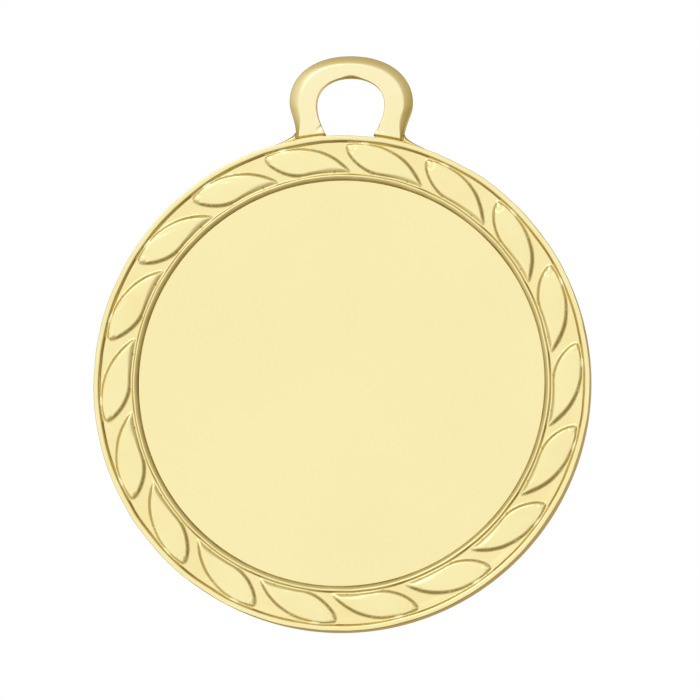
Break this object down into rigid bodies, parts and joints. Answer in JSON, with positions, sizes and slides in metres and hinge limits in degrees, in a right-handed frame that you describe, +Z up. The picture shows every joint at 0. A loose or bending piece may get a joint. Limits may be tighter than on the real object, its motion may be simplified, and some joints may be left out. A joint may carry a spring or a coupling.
{
  "type": "award medal",
  "caption": "Round award medal with a wreath border, a plain flat centre disc inside a fine bead, and a flat horseshoe hanging loop at the top.",
  "frame": {"origin": "centre of the medal's flat back face", "axes": "+Z up through the hanging loop, +X to the viewer's right, and the front faces -Y, so +Y points out of the back face"},
  "size_m": [0.032, 0.0018, 0.0372],
  "materials": {
    "plated_gold": "bright pale gold plating on a struck blank",
    "loop_gold": "bright pale gold plating, tumbled smooth",
    "disc_gold": "soft satin pale gold plating",
    "brazed_gold": "plated braze metal, slightly uneven",
    "adhesive": "thin acrylic adhesive"
  },
  "bodies": {
    "root": {"medal_body": "plated_gold", "suspension_loop": "loop_gold", "left_braze_fillet": "brazed_gold", "right_braze_fillet": "brazed_gold", "center_disc": "disc_gold", "disc_adhesive": "adhesive"}
  },
  "joints": []
}
